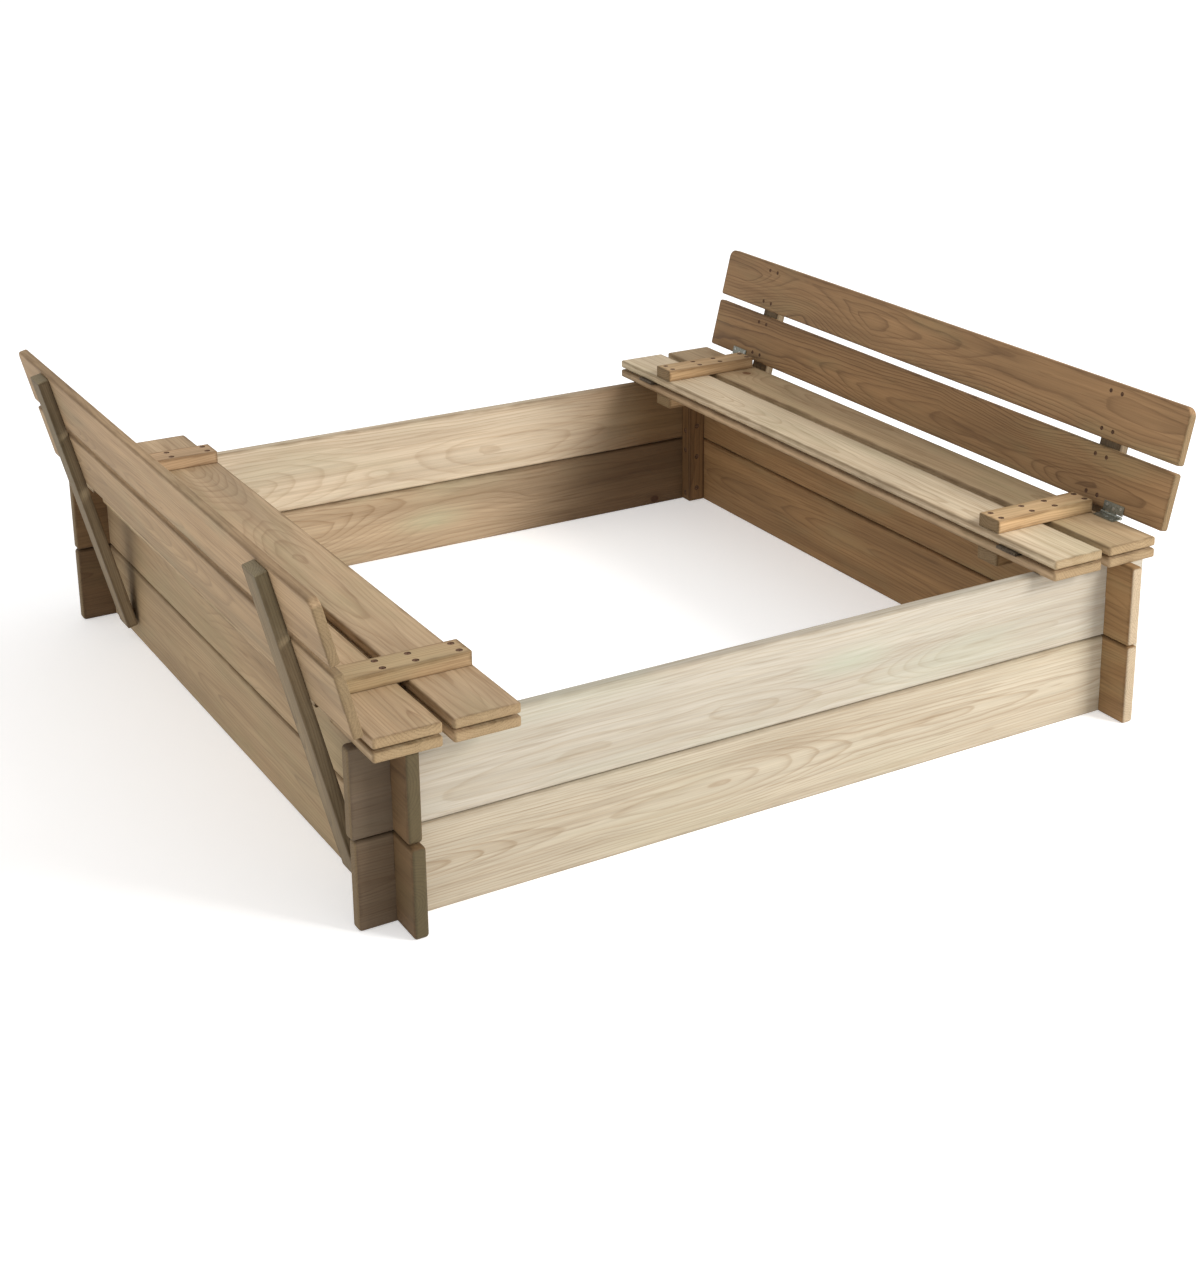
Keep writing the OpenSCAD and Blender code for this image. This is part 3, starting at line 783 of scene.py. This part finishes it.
STUB = 0.543                # the crossing planks start this far from the middle of a wall
SHARP = 0.004               # a change of tone over this length looks like a line
TONES = {
    # plank ends past a corner darken sharply: partly painted shade in the corner, partly the ends' own darker
    # tone
    "front_upper": tone((184, 175, 159), (156, 140, 115), (166, 176, 156), ring=3.2, ring_strength=0.42,
                        blotch=0.10, stain_amount=0.22, grime=0.3, knots=0.0, dark_low=(-STUB, SHARP)),
    "front_lower": tone((186, 173, 151), (142, 118, 88), (166, 170, 142), ring=3.2, ring_strength=0.5,
                        blotch=0.10, stain_amount=0.12, grime=0.35, knots=0.0, dark_low=(-STUB, SHARP)),
    # the back planks also darken gradually towards the right-hand corner: painted shadow of the right bench
    "back_upper": tone((204, 186, 163), (156, 129, 100), (168, 174, 142), ring=3.6, ring_strength=0.5,
                       blotch=0.14, stain_amount=0.15, dark_low=(-0.13, 0.32), dark_high=(STUB, SHARP),
                       dark_tint=(0.33, 0.24, 0.15)),
    "back_lower": tone((182, 158, 128), (132, 102, 70), (168, 174, 142), ring=3.6, ring_strength=0.5,
                       blotch=0.16, stain_amount=0.2, dark_low=(0.0, 0.40), dark_high=(STUB, SHARP),
                       dark_tint=(0.32, 0.25, 0.18)),
    "left": tone((177, 151, 117), (134, 107, 77), end=(78, 70, 46), ring=3.8, ring_strength=0.5,
                 dark_high=(STUB, SHARP), dark_tint=(0.38, 0.32, 0.25)),
    "right": tone((155, 121, 83), (102, 73, 44), end=(188, 170, 144), ring=3.8, ring_strength=0.5,
                  blotch=0.24),
    "post": tone((130, 98, 62), (88, 62, 36), ring=3.6),
    "seat": tone((196, 169, 134), (150, 118, 84), end=(150, 126, 92), ring=3.6, ring_strength=0.5,
                 blotch=0.22, grime=0.7),
    "left_rest": tone((179, 151, 114), (135, 108, 76), (140, 140, 112), ring=3.8, ring_strength=0.5),
    "right_rest": tone((169, 134, 94), (111, 82, 53), ring=3.2, ring_strength=0.8, blotch=0.26, grime=0.4),
    "batten": tone((200, 169, 131), (152, 118, 80), ring=3.2, knots=0.05, blotch=0.22, grime=0.7),
    "leg": tone((134, 116, 90), (94, 77, 55), (104, 104, 78), (146, 132, 104), ring=3.0, knots=0.0,
                blotch=0.26),
}
# pieces with an oval figure, placed along and across the board from its middle, or with a tone of their own,
# which on the right inner seat board is painted light
PIECES = {
    "front_plank_upper": dict(eye=(0.09, 0.005), eye_lift=20, eye_tint=0.6),
    "front_plank_lower": dict(eye=(-0.10, 0.0), eye_lift=-12),
    "back_plank_lower": dict(eye=(0.0, -0.004), eye_lift=22, eye_tint=0.6),
    "back_plank_upper": dict(eye=(0.10, -0.02), eye_lift=16),
    "left_plank_upper": dict(eye=(0.13, 0.0), eye_lift=18),
    "left_seat_board_inner": dict(eye=(-0.18, 0.0), eye_lift=18),
    # right inner seat board: paler, greyer tone painted for the light falling on it
    "right_seat_board_inner": dict(eye=(0.30, 0.01), eye_lift=-14, level=1.06,
                                   early=srgb(212, 193, 165), late=srgb(165, 138, 106)),
    "right_backrest_board_upper": dict(eye=(0.33, -0.028), eye_lift=28),
    "right_backrest_board_lower": dict(eye=(-0.27, 0.02), eye_lift=20),
    "left_backrest_board_upper": dict(eye=(-0.15, 0.0), eye_lift=14),
}


# ---------------------------------------------------------------- box
def lap_notches(node, crossing, x_axis, y_axis, open_up):
    """Half-lap slots of a wall plank where it meets the two crossing planks."""
    matrix, size = place_of(node, x_axis, y_axis)
    slots = []
    for other in crossing:
        lo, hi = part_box(other)
        middle = matrix.inverted() @ ((Vector(lo) + Vector(hi)) / 2)
        half = min(hi[0] - lo[0], hi[1] - lo[1]) / 2 + LAP_PLAY
        bottom, top = (-LAP_OVERLAP, size.y) if open_up else (-size.y, LAP_OVERLAP)
        slots.append(((middle.x - half, bottom, -size.z), (middle.x + half, top, size.z)))
    return slots


UP = (0, 0, 1)
WALLS = {"front": (1, 0, 0), "back": (-1, 0, 0), "left": (0, -1, 0), "right": (0, 1, 0)}
for wall, along in WALLS.items():
    runs_in_x = wall in ("front", "back")
    crosses = ("left", "right") if runs_in_x else ("front", "back")
    for course in ("lower", "upper"):
        node = f"{wall}_plank_{course}"
        timber = f"{wall}_{course}" if runs_in_x else wall
        crossing = [f"{other}_plank_{course}" for other in crosses]
        wood(node, timber, along, UP, radii=(PLANK_CORNER,) * 4, edge=PLANK_EDGE,
             notches=lap_notches(node, crossing, along, UP, runs_in_x))

for y_end in ("front", "back"):
    for x_end in ("left", "right"):
        wood(f"corner_post_{y_end}_{x_end}", "post", UP, (1, 0, 0), radii=(POST_EDGE * SMALL_CORNER,) * 4,
             edge=POST_EDGE)

# ---------------------------------------------------------------- benches
def relief_notches(node, legs, x_axis, y_axis):
    """Notches in an outer base board, where the two backrest legs swing past it."""
    matrix, size = place_of(node, x_axis, y_axis)
    notches = []
    for leg in legs:
        lo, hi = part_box(leg)
        middle = matrix.inverted() @ ((Vector(lo) + Vector(hi)) / 2)
        half = (hi[1] - lo[1]) / 2 + RELIEF_PLAY
        notches.append(((middle.x - half, -size.y, -size.z),
                        (middle.x + half, -size.y / 2 + RELIEF_DEPTH, size.z)))
    return notches


for side, name in ((1, "right"), (-1, "left")):
    lean = backrest_frame(side)
    along = (0, side, 0)
    inward = (-side, 0, 0)
    legs = [f"{name}_backrest_leg_{end}" for end in ("front", "back")]
    wood(f"{name}_seat_board_inner", "seat", along, inward)
    wood(f"{name}_base_board_inner", "seat", along, inward)
    wood(f"{name}_seat_board_outer", "seat", along, inward)
    outer = f"{name}_base_board_outer"
    wood(outer, "seat", along, inward, notches=relief_notches(outer, legs, along, inward))
    for end in ("front", "back"):
        for section in ("seat", "base"):
            wood(f"{name}_{section}_batten_{end}", "batten", (1, 0, 0), (0, 1, 0), edge=BATTEN_EDGE,
                 radii=(BATTEN_EDGE * SMALL_CORNER,) * 4)
        wood(f"{name}_backrest_leg_{end}", "leg", UP, (0, 1, 0), lean, edge=BATTEN_EDGE,
             radii=(LEG_CORNER,) * 4)
    for place, top in (("lower", BOARD_CORNER), ("upper", BACKREST_CORNER)):
        wood(f"{name}_backrest_board_{place}", f"{name}_rest", along, UP, lean,
             radii=(BOARD_CORNER, BOARD_CORNER, top, top))

# ---------------------------------------------------------------- fasteners
MASTERS = {
    "wood": (SCREW_LENGTH, STEEL,
             screw_mesh("wood_screw", HEAD_RADIUS, 1.7 * MM, SCREW_LENGTH, 4.4 * MM, 1.0 * MM)),
    "rest": (SCREW_LENGTH, STEEL,
             screw_mesh("rest_screw", REST_HEAD_RADIUS, 1.2 * MM, SCREW_LENGTH, 3.0 * MM, 0.8 * MM)),
    "hinge": (HINGE_SCREW_LENGTH, BRIGHT,
              screw_mesh("hinge_screw", 2.5 * MM, 1.15 * MM, HINGE_SCREW_LENGTH, 3.2 * MM, 0.7 * MM)),
}
for node in SCREW_NODES:
    kind = "hinge" if "hinge" in node else "rest" if "backrest" in node else "wood"
    length, material, master = MASTERS[kind]
    obj = screw_set(node, length, master)
    obj.data.materials.append(material)
    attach(obj, body_of_node(node))
    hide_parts(node)

# ---------------------------------------------------------------- hinges
for node in sorted(frame["nodes"]):
    if "_hinge_" in node and not node.endswith("screws"):
        obj = frame["nodes"][node]
        obj.data.materials.clear()
        obj.data.materials.append(DULL if "fold_hinge" in node else ZINC)
        rounding = obj.modifiers.new("rounding", "BEVEL")
        rounding.width = 0.15 * MM
        rounding.segments = 2
        rounding.limit_method = "ANGLE"
        rounding.angle_limit = math.radians(50)

# ---------------------------------------------------------------- floor
FLOOR_REACH = 20


def floor():
    """Large sheet of pale paper that glows a little, so that shadows on it stay soft and light."""
    bm = bmesh.new()
    bmesh.ops.create_grid(bm, x_segments=2, y_segments=2, size=FLOOR_REACH)
    mesh = bpy.data.meshes.new("floor")
    bm.to_mesh(mesh)
    bm.free()
    obj = bpy.data.objects.new("floor", mesh)
    bpy.context.scene.collection.objects.link(obj)
    mat, _, shader = new_material("floor_paper")
    shader.inputs["Base Color"].default_value = (0.9, 0.9, 0.9, 1)
    shader.inputs["Roughness"].default_value = 0.9
    shader.inputs["Emission Color"].default_value = (1, 1, 1, 1)
    shader.inputs["Emission Strength"].default_value = 0.42
    mesh.materials.append(mat)


floor()

# ---------------------------------------------------------------- light
bpy.context.scene.view_settings.view_transform = "Standard"
world = bpy.data.worlds.new("studio")
bpy.context.scene.world = world
world.use_nodes = True
back = world.node_tree.nodes["Background"]
back.inputs["Color"].default_value = (1, 1, 1, 1)
back.inputs["Strength"].default_value = 0.74


def softbox(name, place, target, size, power, colour):
    """Rectangular soft light at a place, turned to a target."""
    lamp = bpy.data.lights.new(name, "AREA")
    lamp.shape = "RECTANGLE"
    lamp.size, lamp.size_y = size
    lamp.energy = power
    lamp.color = colour
    obj = bpy.data.objects.new(name, lamp)
    bpy.context.scene.collection.objects.link(obj)
    aim = (Vector(target) - Vector(place)).to_track_quat("-Z", "Y")
    obj.matrix_world = Matrix.Translation(place) @ aim.to_matrix().to_4x4()


softbox("key", place=(2.4, -3.4, 2.4), target=(0, 0, 0.2), size=(1.6, 1.2), power=170,
        colour=(1, 0.995, 0.98))

# ---------------------------------------------------------------- camera
def camera():
    """View from the front-left and a little above, with a shifted lens."""
    azimuth, elevation, roll = (math.radians(a) for a in (-31.98, 17.33, 0.20))
    place = Vector((-1.37569, -2.52629, 1.27012))
    away = Vector((math.sin(azimuth) * math.cos(elevation), -math.cos(azimuth) * math.cos(elevation),
                   math.sin(elevation)))
    forward = -away
    right = forward.cross(Vector((0, 0, 1))).normalized()
    up = right.cross(forward)
    x_axis = math.cos(roll) * right + math.sin(roll) * up
    y_axis = -math.sin(roll) * right + math.cos(roll) * up
    data = bpy.data.cameras.new("camera")
    data.sensor_width = 36
    data.lens = 57.952
    data.shift_x = -0.07527
    data.shift_y = -0.17341
    data.clip_end = 50
    obj = bpy.data.objects.new("camera", data)
    bpy.context.scene.collection.objects.link(obj)
    obj.matrix_world = axes_matrix(place, x_axis, y_axis, away)
    bpy.context.scene.camera = obj


camera()
